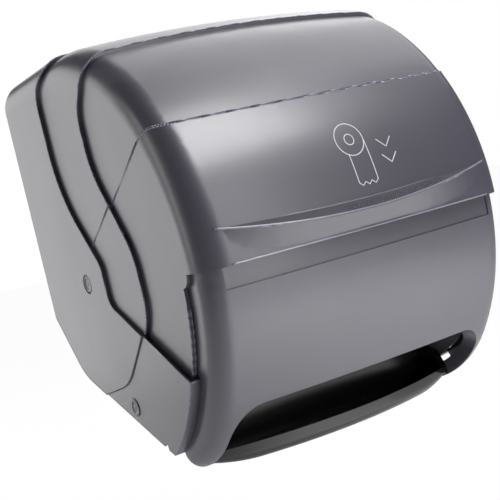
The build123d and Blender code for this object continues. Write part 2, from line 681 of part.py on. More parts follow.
# Leaf springs that press the pinch roller up, seated on the back of the chute
with BuildPart() as pinch_springs:
    with BuildSketch(Plane.YZ):
        with BuildLine():
            leaf = Polyline((CHUTE_REAR + 0.4, CHIN_FOOT + 4), (CHUTE_REAR + 0.4, CHUTE_REAR_TOP + 1.5),
                            (pinch[0] + 1, pinch[1] - PINCH_SHAFT_R - 0.7))
        make_face(offset(leaf, amount=0.4, kind=Kind.INTERSECTION).edges())
    strip = extrude(amount=3, both=True, mode=Mode.PRIVATE)
    for side in (-1, 1):
        add(strip.moved(Location((side * 108, 0, 0))))
keep("pinch_springs", pinch_springs.part)

# Cradle for the stub of the last roll
with BuildPart() as cradle:
    with BuildSketch(Plane.YZ):
        with Locations(CRADLE):
            Circle(CRADLE_R)
            Circle(CRADLE_R - WALL, mode=Mode.SUBTRACT)
        with BuildLine():
            Polyline(CRADLE, around(90, 105, CRADLE), around(90, 180, CRADLE),
                     around(90, 245, CRADLE), close=True)
        make_face(mode=Mode.INTERSECT)
    extrude(amount=FRAME_INNER, both=True)
    for side in (-1, 1):
        rod(4.5, cradle_boss, side * (FRAME_INNER - 10), side * FRAME_INNER)
        rod(SCREW_R, cradle_boss, side * (FRAME_INNER - 10), side * FRAME_INNER, Mode.SUBTRACT)
keep("stub_cradle", cradle.part)

# Transfer bar: a rod with three fingers that tuck the next towel into the nip
with BuildPart() as transfer:
    rod(TRANSFER_R, TRANSFER, -FRAME_OUTER, FRAME_OUTER)
    with BuildSketch(Plane.YZ):
        with BuildLine():
            Polyline(around(4, 60, TRANSFER), around(4, 200, TRANSFER),
                     (-151, -167), (-152, -165), close=True)
        make_face()
        with Locations(TRANSFER):
            Circle(5)
    fingers = extrude(amount=6, both=True, mode=Mode.PRIVATE)
    for x in SLEEVE_X:
        add(fingers.moved(Location((x, 0, 0))))
keep("transfer_bar", transfer.part)

# Roll arms, which swing out to take a roll, and the plugs that hold its core
PLUG_SHANK_R = 5.0
PLUG_R = 18.5
PLUG_FLANGE_R = 24.0
ARM_TIP_HALF = 12.0
ARM_EYE_R = 15.0
for side, label in ((-1, "left"), (1, "right")):
    with BuildPart() as arm:
        with BuildSketch(Plane.YZ.offset(side * ARM_INNER)):
            with BuildLine():
                Polyline((ARM_PIN_Y, ROLL_CENTRE[1] - KNUCKLE_HALF),
                         (ARM_PIN_Y, ROLL_CENTRE[1] + KNUCKLE_HALF),
                         (ROLL_CENTRE[0], ROLL_CENTRE[1] + ARM_TIP_HALF),
                         (ROLL_CENTRE[0], ROLL_CENTRE[1] - ARM_TIP_HALF), close=True)
            make_face()
            with Locations(ROLL_CENTRE):
                Circle(ARM_EYE_R)
        extrude(amount=side * ARM_T)
        with BuildSketch(Plane.XY.offset(ROLL_CENTRE[1] - KNUCKLE_HALF)):
            with Locations((side * ARM_X, ARM_PIN_Y)):
                Circle(KNUCKLE_R)
        extrude(amount=2 * KNUCKLE_HALF)
        with BuildSketch(Plane.XY.offset(ROLL_CENTRE[1] - KNUCKLE_HALF)):
            with Locations((side * ARM_X, ARM_PIN_Y)):
                Circle(ARM_PIN_R + RUNNING)
        extrude(amount=2 * KNUCKLE_HALF, mode=Mode.SUBTRACT)
        rod(PLUG_SHANK_R + RUNNING, ROLL_CENTRE, side * (ARM_INNER - 1), side * (ARM_INNER + 9),
            Mode.SUBTRACT)
    keep(f"roll_arm_{label}", arm.part)
    with BuildPart() as plug:
        rod(PLUG_FLANGE_R, ROLL_CENTRE, side * (ARM_INNER - 1.8), side * (ARM_INNER - 0.3))
        rod(PLUG_R, ROLL_CENTRE, side * (ARM_INNER - 14), side * (ARM_INNER - 1.8))
        chamfer(plug.faces().sort_by(Axis.X)[0 if side > 0 else -1].edges(), 3)
        rod(PLUG_SHANK_R, ROLL_CENTRE, side * (ARM_INNER - 0.3), side * (ARM_INNER + ARM_T + 0.3))
        rod(PLUG_SHANK_R + 1.5, ROLL_CENTRE, side * (ARM_INNER + ARM_T + 0.3),
            side * (ARM_INNER + ARM_T + 2.3))
    keep(f"core_plug_{label}", plug.part)

with BuildPart() as arm_pins:
    with BuildSketch(Plane.XY.offset(ROLL_CENTRE[1] - KNUCKLE_HALF - LUG_GAP - LUG_T)):
        with Locations((-ARM_X, ARM_PIN_Y), (ARM_X, ARM_PIN_Y)):
            Circle(ARM_PIN_R)
    extrude(amount=2 * (KNUCKLE_HALF + LUG_GAP + LUG_T))
keep("arm_pins", arm_pins.part)

# Lock in the top of the cover, and the keeper on the wall plate
LOCK_TOP = 118.2
CAM_Z = 97.0
CAM_T = 2.5
CAM_REACH = 21.0
POST_HIGH = 5.5
SPIGOT_R = 3.0
PLUG_TURN_R = 5.0
with BuildPart() as lock_barrel:
    with BuildSketch(Plane.XY.offset(CAM_Z + CAM_T + 0.3)):
        with Locations((0, LOCK_Y)):
            Circle(LOCK_R)
            Circle(PLUG_TURN_R, mode=Mode.SUBTRACT)
    extrude(amount=LOCK_TOP - CAM_Z - CAM_T - 0.3)
    with BuildSketch(Plane.XY.offset(LOCK_FLANGE_Z - 3)):
        with Locations((0, LOCK_Y)):
            Circle(LOCK_R + 3)
            Circle(PLUG_TURN_R, mode=Mode.SUBTRACT)
    extrude(amount=3)
keep("lock_barrel", lock_barrel.part)

with BuildPart() as lock_plug:
    with Locations((0, LOCK_Y, CAM_Z + CAM_T)):
        Cylinder(PLUG_TURN_R - RUNNING, LOCK_TOP - CAM_Z - CAM_T - 0.3,
                 align=(Align.CENTER, Align.CENTER, Align.MIN))
        Cylinder(SPIGOT_R, CAM_T + 2, align=(Align.CENTER, Align.CENTER, Align.MAX))
    with Locations((0, LOCK_Y, LOCK_TOP - 0.3)):
        Box(1.6, 6, 8, mode=Mode.SUBTRACT)
keep("lock_plug", lock_plug.part)

with BuildPart() as lock_cam:
    with BuildSketch(Plane.XY.offset(CAM_Z)):
        with Locations((0, LOCK_Y)):
            Circle(LOCK_R)
            Rectangle(CAM_REACH, 7, align=(Align.MIN, Align.CENTER))
            Circle(SPIGOT_R, mode=Mode.SUBTRACT)
        with Locations((CAM_REACH, LOCK_Y)):
            Circle(2.5)
    extrude(amount=CAM_T)
    with BuildSketch(Plane.XY.offset(CAM_Z)):
        with Locations((CAM_REACH, LOCK_Y)):
            Circle(2.5)
    extrude(amount=CAM_T + POST_HIGH)
keep("lock_cam", lock_cam.part)

# Keeper on the wall plate: its hanging lip holds the post of the turned cam
with BuildPart() as keeper:
    with BuildSketch(Plane.YZ):
        with BuildLine():
            Polyline((-PLATE_RIM, 84), (-PLATE_RIM, 108), (-30, 108), (-30, 100), (-27.5, 100),
                     (-27.5, 105.5), (-PLATE_RIM - 2.5, 105.5), (-PLATE_RIM - 2.5, 84), close=True)
        make_face()
    extrude(amount=7, both=True)
keep("lock_keeper", keeper.part)

# Return spring: a torsion spring round the sector's post, from the frame to the horn
SPRING_R = 8.5
SPRING_WIRE_R = 0.55
SPRING_PITCH = 1.55
SPRING_TURNS = 3.0
SPRING_X = FRAME_OUTER + 0.98
with BuildPart() as spring:
    with BuildLine() as wire:
        coil = Helix(SPRING_PITCH, SPRING_PITCH * SPRING_TURNS, SPRING_R, (SPRING_X, *PIVOT), (1, 0, 0))
    with BuildSketch(Plane(coil @ 0, z_dir=coil % 0)):
        Circle(SPRING_WIRE_R)
    sweep(path=wire.wires()[0])
    extrude(spring.faces().filter_by(GeomType.PLANE), amount=12)
keep("return_spring", spring.part)
print("spring: least gap between curls", round(SPRING_PITCH - 2 * SPRING_WIRE_R, 2), "mm")

# Screws that hold the frames, the chute, the guide and the cradle
with BuildPart() as frame_screws:
    for side in (-1, 1):
        for place in screw_places:
            rod(SCREW_R, place, side * (FRAME_OUTER - SCREW_LONG + 1), side * FRAME_OUTER)
            rod(SCREW_HEAD_R, place, side * FRAME_OUTER, side * (FRAME_OUTER + 1.6))
keep("frame_screws", frame_screws.part)
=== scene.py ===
"""Roll towel dispenser with a press lever: finishes, surface details and studio."""
import json
import math

import bmesh
import bpy
from bpy.props import FloatProperty, FloatVectorProperty, IntProperty, PointerProperty
from mathutils import Matrix, Vector


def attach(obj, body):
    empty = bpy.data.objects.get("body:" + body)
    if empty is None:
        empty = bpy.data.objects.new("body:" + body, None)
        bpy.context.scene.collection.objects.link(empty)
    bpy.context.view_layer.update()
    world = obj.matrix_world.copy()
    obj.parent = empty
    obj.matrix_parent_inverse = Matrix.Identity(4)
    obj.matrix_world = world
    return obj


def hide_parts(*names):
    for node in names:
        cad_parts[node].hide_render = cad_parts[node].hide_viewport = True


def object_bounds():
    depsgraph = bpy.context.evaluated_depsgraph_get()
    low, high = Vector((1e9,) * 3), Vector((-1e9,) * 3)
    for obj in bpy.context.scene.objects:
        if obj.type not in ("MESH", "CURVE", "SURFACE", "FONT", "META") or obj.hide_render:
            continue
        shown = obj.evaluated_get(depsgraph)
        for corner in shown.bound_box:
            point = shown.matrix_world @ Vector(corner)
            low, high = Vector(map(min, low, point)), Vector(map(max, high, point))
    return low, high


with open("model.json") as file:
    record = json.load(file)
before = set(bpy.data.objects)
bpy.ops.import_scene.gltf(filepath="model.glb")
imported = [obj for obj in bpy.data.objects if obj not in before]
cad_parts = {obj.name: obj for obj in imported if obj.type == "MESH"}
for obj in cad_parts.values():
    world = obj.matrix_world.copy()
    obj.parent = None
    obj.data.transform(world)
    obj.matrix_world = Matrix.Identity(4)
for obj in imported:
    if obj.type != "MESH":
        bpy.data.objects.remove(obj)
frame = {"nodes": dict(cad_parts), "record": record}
cad_box = [list(corner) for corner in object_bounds()]

bl_info = {
    "name": "Roll towel dispenser",
    "version": (1, 0, 0),
    "blender": (4, 5, 0),
    "location": "View3D > Sidebar > Dispenser",
    "description": "Dresses the packed towel dispenser and sets up its studio",
    "category": "Object",
}

# Measures of the mouldings, in metres, as the source of the solids has them
PIVOT_Y = -0.093
PIVOT_Z = -0.070
LEVER_R = 0.1923
BOW = 0.005
BOW_AT = 0.120
LIP_Z = -0.070
LEDGE_HALF = 0.126
LEDGE_REACH = 0.008


def front_y(x, z, lift=0.0):
    """Place of the lever's curved front at a given width and height."""
    radius = LEVER_R + BOW * (1 - (x / BOW_AT) ** 2) + lift
    return PIVOT_Y - math.sqrt(radius ** 2 - (z - PIVOT_Z) ** 2)


def front_point(x, z, lift=0.0):
    """Point on the lever's curved front."""
    return Vector((x, front_y(x, z, lift), z))


def placed(name, data):
    """New object that holds the given data, linked to the scene."""
    piece = bpy.data.objects.new(name, data)
    bpy.context.scene.collection.objects.link(piece)
    return piece


class Wire:
    """One socket of a shader tree, on which Python's operators add Math nodes."""

    def __init__(self, shader, socket):
        self.shader = shader
        self.socket = socket

    def _math(self, operation, first, second):
        return self.shader.add("ShaderNodeMath", {"operation": operation}, {0: first, 1: second})

    def __add__(self, other):
        return self._math("ADD", self, other)

    def __radd__(self, other):
        return self._math("ADD", other, self)

    def __sub__(self, other):
        return self._math("SUBTRACT", self, other)

    def __rmul__(self, other):
        return self._math("MULTIPLY", other, self)

    def __pow__(self, other):
        return self._math("POWER", self, other)


class Shader:
    """A material's node tree, to which nodes are added one call at a time."""

    # Numbers of the Mix node's sockets for its factor, two colours and result
    MIX_SOCKETS = (0, 6, 7, 2)

    def __init__(self, name):
        self.material = bpy.data.materials.new(name)
        self.material.use_nodes = True
        self.tree = self.material.node_tree
        self.tree.nodes.clear()
        self.out = self.tree.nodes.new("ShaderNodeOutputMaterial")

    def add(self, kind, settings, values, output=0):
        """Adds a node: settings first, then its sockets' values or links."""
        node = self.tree.nodes.new(kind)
        for key, value in settings.items():
            setattr(node, key, value)
        for key, value in values.items():
            if isinstance(value, Wire):
                self.tree.links.new(value.socket, node.inputs[key])
            else:
                node.inputs[key].default_value = value
        return Wire(self, node.outputs[output])

    def place(self):
        """Object coordinates, which stay with the piece."""
        return self.add("ShaderNodeTexCoord", {}, {}, output="Object")

    def noise(self, scale, detail=2.0, stretch=(1, 1, 1)):
        """Soft noise over the surface, with the object's own coordinates."""
        spot = self.add("ShaderNodeMapping", {}, {"Vector": self.place(), "Scale": stretch})
        values = {"Vector": spot, "Scale": scale, "Detail": detail}
        return self.add("ShaderNodeTexNoise", {}, values)

    def blend(self, factor, first, second):
        """Colour between two colours."""
        factor_in, first_in, second_in, colour_out = self.MIX_SOCKETS
        values = {factor_in: factor, first_in: first, second_in: second}
        return self.add("ShaderNodeMix", {"data_type": "RGBA"}, values, output=colour_out)

    def bump(self, height, strength, distance):
        """Normal that follows a height."""
        values = {"Height": height, "Strength": strength, "Distance": distance}
        return self.add("ShaderNodeBump", {}, values)

    def finish(self, values):
        """Closes the tree with a Principled surface."""
        surface = self.add("ShaderNodeBsdfPrincipled", {}, values)
        self.tree.links.new(surface.socket, self.out.inputs["Surface"])
        return self.material


def rgba(colour, factor=1.0):
    """Opaque colour, made lighter or darker by a factor."""
    return (*(min(1.0, part * factor) for part in colour), 1.0)


NOISE_MIDDLE = 0.5


def swing(noise, reach):
    """Value that a noise moves about nought."""
    return reach * (noise - NOISE_MIDDLE)


# Painted shade that darkens the grooves between the steps, and the paler tone of the edges, a
# painted highlight
GROOVE_REACH = 0.0018
GROOVE_POWER = 1.6
GROOVE_SHADE = 0.45
EDGE_HIGHLIGHT_GAIN = 3.5
SMOKE_IOR = 1.8


def smoke_plastic(settings):
    """Translucent smoke moulding: fine spark-eroded grain, slow flow clouds, and painted shade in
    its grooves.
    """
    shader = Shader("smoke_plastic")
    clouds = shader.noise(scale=9.0, detail=3.0)
    grain = shader.noise(scale=1400.0)
    scuffs = shader.noise(scale=60.0, detail=4.0, stretch=(1.0, 1.0, 0.25))
    colour = settings.smoke_colour
    tint = shader.blend(clouds, rgba(colour, 0.85), rgba(colour, 1.15))
    # Painted shade: ambient occlusion darkens the base colour in the grooves and creases
    corner = shader.add("ShaderNodeAmbientOcclusion", {"samples": 6, "only_local": True},
                        {"Distance": GROOVE_REACH}, output="AO")
    return shader.finish({
        "Base Color": shader.blend(corner ** GROOVE_POWER, rgba(colour, GROOVE_SHADE), tint),
        "Roughness": settings.smoke_roughness + swing(scuffs, 0.05) + swing(grain, 0.05),
        "Metallic": 0.1,
        "IOR": SMOKE_IOR,
        "Alpha": settings.smoke_alpha + swing(clouds, 0.04),
        "Coat Weight": 0.35,
        "Coat Roughness": 0.22,
        "Normal": shader.bump(grain, strength=0.16, distance=0.0002),
    })


def painted_edge_highlight(settings):
    """Edges of the smoke moulding, in a painted highlight: paler than its faces, standing for the
    light that the edges gather.
    """
    shader = Shader("smoke_edge")
    flow = shader.noise(scale=40.0)
    # Painted highlight: the edge colour is several times the body colour
    pale = rgba(settings.smoke_colour, EDGE_HIGHLIGHT_GAIN)
    dim = rgba(settings.smoke_colour, 0.7 * EDGE_HIGHLIGHT_GAIN)
    return shader.finish({
        "Base Color": shader.blend(flow, dim, pale),
        "Roughness": 0.24 + swing(flow, 0.06),
        "IOR": SMOKE_IOR,
    })


def textured_grip(settings):
    """Dull grained face of the ledge, darker than the mouldings round it."""
    shader = Shader("smoke_grip")
    grain = shader.noise(scale=1100.0, detail=3.0)
    colour = settings.smoke_colour
    return shader.finish({
        "Base Color": shader.blend(grain, rgba(colour, 0.45), rgba(colour, 0.75)),
        "Roughness": 0.55 + swing(grain, 0.1),
        "IOR": 1.4,
        "Normal": shader.bump(grain, strength=0.3, distance=0.0003),
    })


def moulded_plastic(name, colour, roughness, grain_scale, grain_strength):
    """Opaque moulding with a fine grain and faint colour clouds."""
    shader = Shader(name)
    clouds = shader.noise(scale=14.0, detail=3.0)
    grain = shader.noise(grain_scale)
    return shader.finish({
        "Base Color": shader.blend(clouds, rgba(colour, 0.8), rgba(colour, 1.2)),
        "Roughness": roughness + swing(grain, 0.1),
        "IOR": 1.5,
        "Normal": shader.bump(grain, grain_strength, distance=0.0002),
    })


def drawn_metal(name, colour, roughness, stretch):
    """Plated metal with fine drawing lines along one direction."""
    shader = Shader(name)
    lines = shader.noise(scale=900.0, stretch=stretch)
    stains = shader.noise(scale=40.0, detail=4.0)
    return shader.finish({
        "Base Color": shader.blend(stains, rgba(colour, 0.85), rgba(colour, 1.1)),
        "Metallic": 1.0,
        "Roughness": roughness + swing(lines, 0.12) + swing(stains, 0.08),
        "Normal": shader.bump(lines, strength=0.12, distance=0.0001),
    })


def rubber(colour):
    """Matt rubber with a fine ground surface."""
    shader = Shader("roller_rubber")
    ground = shader.noise(scale=700.0, detail=3.0, stretch=(0.3, 1.0, 1.0))
    dust = shader.noise(scale=30.0, detail=3.0)
    return shader.finish({
        "Base Color": shader.blend(dust, rgba(colour), rgba(colour, 2.2)),
        "Roughness": 0.72 + swing(dust, 0.14),
        "Normal": shader.bump(ground, strength=0.3, distance=0.0003),
    })


def printed_ink(colour):
    """Pale pad-printed ink, slightly uneven."""
    shader = Shader("pale_ink")
    specks = shader.noise(scale=900.0)
    tint = shader.blend(specks, rgba(colour, 0.82), rgba(colour))
    return shader.finish({"Base Color": tint, "Roughness": 0.5 + swing(specks, 0.1)})


class DispenserLooks(bpy.types.PropertyGroup):
    """Colours and finishes of the mouldings."""

    smoke_colour: FloatVectorProperty(
        name="Smoke colour", description="Body colour of the cover and the lever",
        subtype="COLOR", size=3, min=0, max=1, default=(0.052, 0.048, 0.068))
    smoke_alpha: FloatProperty(
        name="Smoke density", description="How much of the light the smoke moulding stops",
        subtype="FACTOR", min=0, max=1, default=0.9)
    smoke_roughness: FloatProperty(
        name="Smoke roughness", description="Roughness of the satin moulding",
        subtype="FACTOR", min=0, max=1, default=0.42)
    chute_colour: FloatVectorProperty(
        name="Chute colour", description="Colour of the black chute and guides",
        subtype="COLOR", size=3, min=0, max=1, default=(0.004, 0.004, 0.005))
    frame_colour: FloatVectorProperty(
        name="Frame colour", description="Colour of the side frames inside",
        subtype="COLOR", size=3, min=0, max=1, default=(0.035, 0.034, 0.04))
    ink_colour: FloatVectorProperty(
        name="Ink colour", description="Colour of the printed picture on the lever",
        subtype="COLOR", size=3, min=0, max=1, default=(0.60, 0.60, 0.66))


class DispenserGrip(bpy.types.PropertyGroup):
    """Raised dots on the ledge of the lever."""

    rows: IntProperty(
        name="Rows", description="Rows of dots between the crease and the edge",
        min=1, max=8, default=4)
    columns: IntProperty(
        name="Columns", description="Dots in one row", min=2, max=200, default=44)
    start: FloatProperty(
        name="Start", description="Left end of the dotted field", subtype="DISTANCE",
        unit="LENGTH", min=-0.12, max=0.12, default=-0.020)
    end: FloatProperty(
        name="End", description="Right end of the dotted field", subtype="DISTANCE",
        unit="LENGTH", min=-0.12, max=0.12, default=0.078)
    dot_radius: FloatProperty(
        name="Dot radius", description="Radius of one dot", subtype="DISTANCE", unit="LENGTH",
        min=0.0001, max=0.005, default=0.0007)
    dot_height: FloatProperty(
        name="Dot height", description="How far a dot stands out", subtype="DISTANCE",
        unit="LENGTH", min=0.0001, max=0.003, default=0.0006)


class DispenserStudio(bpy.types.PropertyGroup):
    """Lamps, floor and camera."""

    key_power: FloatProperty(
        name="Key light", description="Power of the soft box above the front", subtype="POWER",
        min=0, max=500, default=15.0)
    strip_power: FloatProperty(
        name="Strip light", description="Power of the upright strip in front", subtype="POWER",
        min=0, max=500, default=3.5)
    top_power: FloatProperty(
        name="Top light", description="Power of the large lamp high on the right", subtype="POWER",
        min=0, max=500, default=11.0)
    back_power: FloatProperty(
        name="Back light", description="Power of the lamp behind on the right", subtype="POWER",
        min=0, max=500, default=6.0)
    side_power: FloatProperty(
        name="Side light", description="Power of the lamp behind on the left", subtype="POWER",
        min=0, max=500, default=9.0)
    fill_power: FloatProperty(
        name="Fill light", description="Power of the weak lamp on the left", subtype="POWER",
        min=0, max=500, default=3.0)
    floor_power: FloatProperty(
        name="Floor light", description="Power of the lamp that brightens the floor in front",
        subtype="POWER", min=0, max=500, default=3.5)
    world_level: FloatProperty(
        name="Room light", description="Level of the light from all round",
        min=0, max=2, default=0.10)
    floor_gap: FloatProperty(
        name="Floor gap", description="How far the floor lies below the dispenser",
        subtype="DISTANCE", unit="LENGTH", min=0, max=1, default=0.16)


def looks():
    """Settings of the finishes."""
    return bpy.context.scene.dispenser_looks


def mesh_piece(name, verts, faces, material):
    """New object from vertices and faces, with its normals outward."""
    mesh = bpy.data.meshes.new(name)
    mesh.from_pydata([tuple(v) for v in verts], [], faces)
    shape = bmesh.new()
    shape.from_mesh(mesh)
    bmesh.ops.recalc_face_normals(shape, faces=shape.faces)
    shape.to_mesh(mesh)
    shape.free()
    mesh.materials.append(material)
    return placed(name, mesh)


def smooth_sides(piece):
    """Shades the narrow faces of a turned or tubular piece smooth, and leaves its ends flat."""
    for polygon in piece.data.polygons:
        polygon.use_smooth = len(polygon.vertices) <= 4


def circle(centre, first, second, radius, count):
    """Points of a circle, in the plane of two unit vectors."""
    turns = (2 * math.pi * step / count for step in range(count))
    return [centre + radius * (math.cos(turn) * first + math.sin(turn) * second) for turn in turns]


def tube_sides(start, count):
    """Side faces between two rings of vertices that follow each other in a list."""
    faces = []
    for step in range(count):
        after = (step + 1) % count
        faces.append((start + step, start + count + step, start + count + after, start + after))
    return faces


def tube_faces(rings, count, start=0):
    """Faces of a closed tube through rings of vertices that follow each other in a list."""
    faces = []
    for ring in range(rings - 1):
        faces += tube_sides(start + ring * count, count)
    last = start + (rings - 1) * count
    return faces + [tuple(range(start, start + count)), tuple(range(last, last + count))]


def body_of(node):
    """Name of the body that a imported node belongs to."""
    for body, nodes in frame["record"]["behaviour"]["bodies"].items():
        if node in nodes:
            return body
    raise RuntimeError("no body holds " + node)


WELD_WITHIN = 0.00001
SMOOTH_BELOW = math.radians(24)


def smooth_copy(node, material):
    """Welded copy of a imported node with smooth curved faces, standing for it."""
    body = body_of(node)
    mesh = frame["nodes"][node].data.copy()
    mesh.name = node + "_skin"
    shape = bmesh.new()
    shape.from_mesh(mesh)
    bmesh.ops.remove_doubles(shape, verts=shape.verts, dist=WELD_WITHIN)
    for face in shape.faces:
        face.smooth = True
    for edge in shape.edges:
        edge.smooth = len(edge.link_faces) == 2 and edge.calc_face_angle(0.0) < SMOOTH_BELOW
    shape.to_mesh(mesh)
    shape.free()
    mesh.materials.clear()
    mesh.materials.append(material)
    skin = placed(node + "_skin", mesh)
    weighted = skin.modifiers.new("even_normals", "WEIGHTED_NORMAL")
    weighted.keep_sharp = True
    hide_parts(node)
    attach(skin, body)
    return skin


def dress(nodes, material):
    """Smooth copies of several nodes, in one material."""
    for node in nodes:
        smooth_copy(node, material)


# Crests run along edges this sharp, sunk into them, and stay inside the box of the solids
CREST_ANGLE = math.radians(50)
CREST_SIDES = 6
CREST_R = 0.0007
CREST_SINK = 0.0005
# None at the wall, below the mouth's upper line, or in the band of the ledge and the lip
WALL_EDGE_Y = -0.01
MOUTH_LINE_Z = -0.165
BAND_SPAN_Z = (-0.090, -0.052)
BAND_HALF = 0.141
# Faces of the lever between these heights that look up this much are the ledge's grip
LEDGE_SPAN_Z = (-0.064, -0.036)
LEDGE_FACING = 0.35


def carries_crest(middle, outward):
    """Whether a sharp edge, by its middle and its outward direction, gets a crest."""
    spoke = middle - Vector((0.0, PIVOT_Y, PIVOT_Z))
    outside = outward.dot(spoke) > 0
    clear = middle.y <= WALL_EDGE_Y and middle.z >= MOUTH_LINE_Z
    in_band = BAND_SPAN_Z[0] < middle.z < BAND_SPAN_Z[1] and abs(middle.x) < BAND_HALF
    return outside and clear and not in_band


def inside_box(spot):
    """The point, moved into the box of the solids."""
    return [min(max(value, low), high) for value, low, high in zip(spot, *cad_box)]


def crest_rods(skin):
    """Short rods along the outer sharp edges of a moulding, as the round crests of its steps."""
    shape = bmesh.new()
    shape.from_mesh(skin.data)
    verts, faces = [], []
    for edge in shape.edges:
        if len(edge.link_faces) != 2 or edge.calc_face_angle_signed(0.0) < CREST_ANGLE:
            continue
        first, last = (vertex.co for vertex in edge.verts)
        outward = (edge.link_faces[0].normal + edge.link_faces[1].normal).normalized()
        if not carries_crest((first + last) / 2, outward):
            continue
        across = (last - first).normalized().cross(outward)
        faces += tube_faces(2, CREST_SIDES, len(verts))
        for end in (first, last):
            centre = end - CREST_SINK * outward
            verts += map(inside_box, circle(centre, outward, across, CREST_R, CREST_SIDES))
    shape.free()
    return verts, faces


class DISPENSER_OT_shells(bpy.types.Operator):
    """Smoke mouldings: the cover and the lever, with their crests in a painted edge highlight"""

    bl_idname = "dispenser.shells"
    bl_label = "Cover and lever"

    def execute(self, context):
        smoke = smoke_plastic(looks())
        # The crests' material is a painted highlight along the edges of the steps
        edge = painted_edge_highlight(looks())
        cover = smooth_copy("cover_shell", smoke)
        lever = smooth_copy("lever_shell", smoke)
        lever.data.materials.append(textured_grip(looks()))
        for polygon in lever.data.polygons:
            on_ledge = LEDGE_SPAN_Z[0] < polygon.center.z < LEDGE_SPAN_Z[1]
            if on_ledge and polygon.normal.z > LEDGE_FACING:
                polygon.material_index = 1
        for skin, body in ((cover, "cover"), (lever, "lever")):
            crest = mesh_piece(body + "_crests", *crest_rods(skin), edge)
            smooth_sides(crest)
            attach(crest, body)
        return {"FINISHED"}


# Chin of the chute: it rises by CHIN_LIFT from where its straight middle ends to its ends
CHIN_TOP = -0.213
CHIN_DEEP = 0.0135
CHIN_STRAIGHT = 0.080
CHIN_HALF = 0.1175
CHIN_LIFT = 0.005


def taper_chin(chute):
    """Lets the chin's lower edge rise towards its ends, where it meets the legs of the mouth."""
    for vertex in chute.data.vertices:
        past = max(0.0, abs(vertex.co.x) - CHIN_STRAIGHT) / (CHIN_HALF - CHIN_STRAIGHT)
        low = min(1.0, max(0.0, (CHIN_TOP - vertex.co.z) / CHIN_DEEP))
        vertex.co.z += CHIN_LIFT * low * min(1.0, past) ** 2


# Side views of the small plates that close the ends of the mouth, outside the chute
CHEEK = ((-0.1885, -0.2205), (-0.160, -0.2205), (-0.160, -0.196),
         (-0.170, -0.196), (-0.1885, -0.2125))
CHEEK_X = (0.1174, 0.1206)
EAR = ((-0.223, -0.179), (-0.210, -0.190), (-0.197, -0.198), (-0.184, -0.204),
       (-0.166, -0.210), (-0.166, -0.2085), (-0.1835, -0.2025), (-0.1963, -0.1966),
       (-0.209, -0.1887), (-0.2218, -0.1779))
EAR_X = (0.1243, 0.1305)


def plate_mesh(outline, reach, side):
    """Plate of a given outline in the side view, between two places along the width."""
    verts = [(side * x, y, z) for x in reach for y, z in outline]
    return verts, tube_faces(2, len(outline))


class DISPENSER_OT_mouldings(bpy.types.Operator):
    """Opaque mouldings: chute, frames, wall plate, gears and rollers"""

    bl_idname = "dispenser.mouldings"
    bl_label = "Inner mouldings"

    def execute(self, context):
        settings = looks()
        chute = moulded_plastic("chute_black", settings.chute_colour,
                                roughness=0.22, grain_scale=500.0, grain_strength=0.05)
        taper_chin(smooth_copy("towel_chute", chute))
        dress(("front_guide",), chute)
        for name, outline, reach in (("mouth_cheek", CHEEK, CHEEK_X), ("mouth_ear", EAR, EAR_X)):
            for side, label in ((-1, "left"), (1, "right")):
                piece = mesh_piece(f"{name}_{label}", *plate_mesh(outline, reach, side), chute)
                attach(piece, "chassis")
        frames = moulded_plastic("frame_dark", settings.frame_colour,
                                 roughness=0.45, grain_scale=700.0, grain_strength=0.15)
        dress(("side_frame_left", "side_frame_right", "stub_cradle", "transfer_bar"), frames)
        plate = moulded_plastic("plate_grey", colour=(0.10, 0.10, 0.11),
                                roughness=0.5, grain_scale=700.0, grain_strength=0.15)
        dress(("back_plate", "roll_arm_left", "roll_arm_right", "core_plug_left",
               "core_plug_right", "roller_core"), plate)
        acetal = moulded_plastic("gear_white", colour=(0.62, 0.61, 0.57),
                                 roughness=0.35, grain_scale=400.0, grain_strength=0.05)
        dress(("drive_sector", "compound_gear", "roller_pinion", "roller_bushes"), acetal)
        dress(("roller_sleeves", "pinch_rollers"), rubber(colour=(0.02, 0.02, 0.022)))
        return {"FINISHED"}


class DISPENSER_OT_hardware(bpy.types.Operator):
    """Pins, shafts, screws, springs, tear bar and lock"""

    bl_idname = "dispenser.hardware"
    bl_label = "Pins and metal"

    def execute(self, context):
        pins = moulded_plastic("pin_grey", colour=(0.045, 0.044, 0.05),
                               roughness=0.4, grain_scale=900.0, grain_strength=0.2)
        dress(("lever_pivot_pins", "cover_hinge_pins", "pivot_pin_clips"), pins)
        turned = drawn_metal("turned_steel", colour=(0.55, 0.55, 0.56),
                             roughness=0.32, stretch=(1.0, 0.05, 0.05))
        dress(("drive_shaft", "pinch_shaft", "gear_posts", "post_clips", "shaft_clips", "arm_pins",
               "frame_screws", "tear_bar_screws", "return_spring"), turned)
        rolled = drawn_metal("rolled_steel", colour=(0.58, 0.58, 0.6),
                             roughness=0.26, stretch=(0.05, 1.0, 1.0))
        dress(("tear_bar", "pinch_springs", "lock_keeper"), rolled)
        plated = drawn_metal("plated_lock", colour=(0.62, 0.61, 0.6),
                             roughness=0.2, stretch=(1.0, 1.0, 1.0))
        dress(("lock_barrel", "lock_plug", "lock_cam"), plated)
        return {"FINISHED"}


STRIP_CORNERS = ((1, 1), (1, -1), (-1, -1), (-1, 1))


def strip_verts(points, width, rise):
    """Corners of a flat raised line along points that lie on the lever's front."""
    verts = []
    for index, (x, z) in enumerate(points):
        before = points[max(index - 1, 0)]
        after = points[min(index + 1, len(points) - 1)]
        along = Vector((after[0] - before[0], after[1] - before[1])).normalized()
        across = Vector((-along.y, along.x)) * width / 2
        verts += [front_point(x + side * across.x, z + side * across.y, level * rise)
                  for side, level in STRIP_CORNERS]
    return verts


